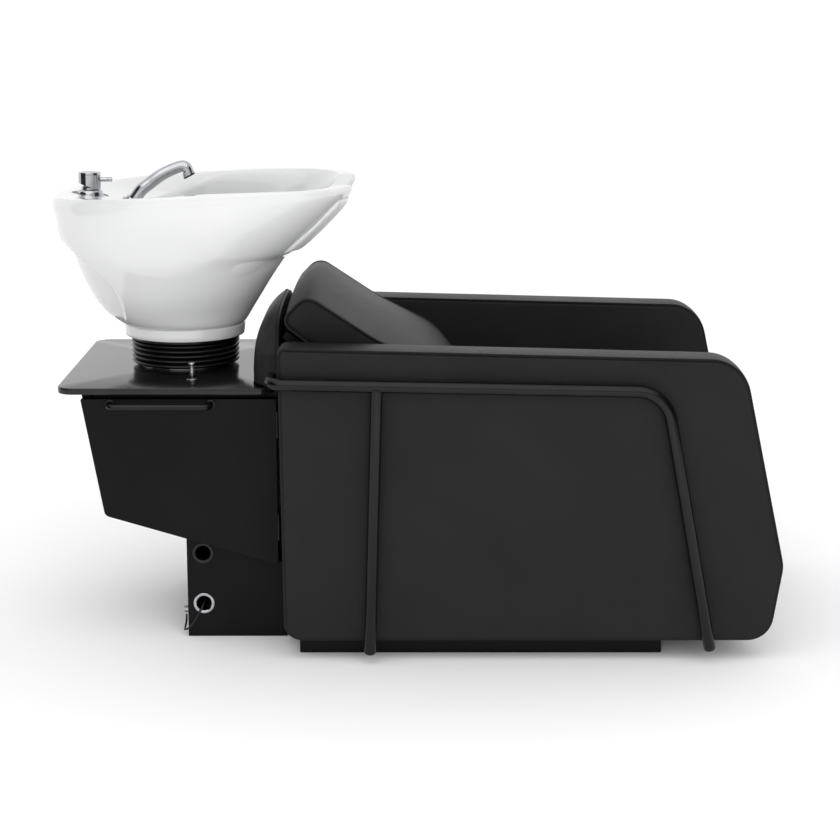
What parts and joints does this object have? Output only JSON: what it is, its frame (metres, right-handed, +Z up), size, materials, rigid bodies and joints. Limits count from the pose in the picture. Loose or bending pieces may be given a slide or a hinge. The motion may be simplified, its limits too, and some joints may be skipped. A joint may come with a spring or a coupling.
{
  "type": "shampoo backwash unit",
  "caption": "Salon backwash unit: reclined upholstered chair joined to a cabinet and pedestal that carry a tilting ceramic basin with mixer, pull-out spray and neck rest",
  "frame": {"origin": "centre of the footprint box, at floor level", "axes": "+X is where the sitter's feet point, the basin is at -X; +Z is up; the access door is on the -Y side"},
  "size_m": [1.362, 0.736, 0.8839],
  "materials": {
    "vinyl": "satin black upholstery vinyl with a fine grain",
    "tube": "gloss black powder coat",
    "laminate": "black laminated board, semi-matt",
    "countertop": "satin black laminate, semi-gloss",
    "plywood": "black stained plywood, hidden frame",
    "glaze": "gloss white glaze",
    "gel": "soft white neck rest",
    "chrome": "polished chrome plate",
    "zinc": "zinc plated steel",
    "rubber": "black rubber bellows",
    "plastic": "black moulded plastic"
  },
  "bodies": {
    "frame": {"base_plinth": "laminate", "base_board": "plywood", "chair_rear_panel": "laminate", "seat_board": "plywood", "back_frame_right": "laminate", "back_frame_left": "laminate", "seat_cushion": "vinyl", "front_panel": "vinyl", "back_cushion": "vinyl", "back_board": "laminate", "back_shell": "vinyl", "arm_right": "vinyl", "arm_left": "vinyl", "side_tube_right": "tube", "side_tube_left": "tube", "side_post_right": "tube", "side_post_left": "tube", "countertop": "countertop", "cabinet_left_side": "laminate", "cabinet_rear_panel": "laminate", "cabinet_bottom_panel": "laminate", "cabinet_front_panel": "laminate", "cabinet_top_rail": "laminate", "pedestal_right_side": "laminate", "pedestal_left_side": "laminate", "pedestal_rear_panel": "laminate", "port_ring_upper": "plastic", "port_ring_lower": "chrome", "bonding_wire": "plastic", "wire_terminal": "zinc", "hinge_plate_upper": "tube", "hinge_plate_lower": "tube", "magnet_catch": "plastic", "tilt_base": "zinc", "tilt_axle_right": "zinc", "tilt_axle_left": "zinc", "gaiter": "rubber", "waste_trap": "plastic", "waste_pipe": "plastic", "hot_hose": "zinc", "cold_hose": "zinc", "supply_bar": "zinc"},
    "door": {"access_door": "laminate", "door_handle": "tube", "hinge_leaf_upper": "tube", "hinge_leaf_lower": "tube", "strike_plate": "zinc"},
    "basin_unit": {"basin": "glaze", "basin_carrier": "zinc", "drain_fitting": "chrome", "neck_rest": "gel", "mixer_body": "chrome", "spray_socket": "chrome"},
    "strainer": {"hair_strainer": "chrome"},
    "mixer_turret": {"mixer_cartridge": "chrome"},
    "mixer_lever": {"mixer_handle": "chrome"},
    "spray_swivel": {"spray_collar": "chrome"},
    "spray_head": {"hand_spray": "chrome", "spray_nozzle": "plastic"},
    "lock_screw": {"tilt_lock_screw": "chrome"}
  },
  "joints": [
    {"name": "door_swing", "type": "hinge", "parent": "frame", "child": "door", "pos_m": [-0.2448, -0.2385, 0.31], "axis": [0, 0, 1], "range_deg": [0, 88]},
    {"name": "basin_tilt", "type": "hinge", "parent": "frame", "child": "basin_unit", "pos_m": [-0.437, 0, 0.52], "axis": [0, 1, 0], "range_deg": [-10, 4], "deforming": ["gaiter"]},
    {"name": "strainer_lift", "type": "slide", "parent": "basin_unit", "child": "strainer", "axis": [0, 0, 1], "range_m": [0, 0.06]},
    {"name": "mixer_turn", "type": "hinge", "parent": "basin_unit", "child": "mixer_turret", "pos_m": [-0.6132, 0, 0.8375], "axis": [0, 0, 1], "range_deg": [-60, 60]},
    {"name": "mixer_lift", "type": "hinge", "parent": "mixer_turret", "child": "mixer_lever", "pos_m": [-0.6132, 0, 0.8375], "axis": [0, -1, 0], "range_deg": [0, 18]},
    {"name": "spray_turn", "type": "hinge", "parent": "basin_unit", "child": "spray_swivel", "pos_m": [-0.533, 0, 0.805], "axis": [0.6157, 0, 0.788], "range_deg": [-35, 35]},
    {"name": "spray_pull", "type": "slide", "parent": "spray_swivel", "child": "spray_head", "axis": [0.6157, 0, 0.788], "range_m": [0, 0.12]},
    {"name": "lock_turn", "type": "hinge", "parent": "frame", "child": "lock_screw", "pos_m": [-0.4075, -0.17, 0.492], "axis": [0, 0, 1], "continuous": true}
  ]
}
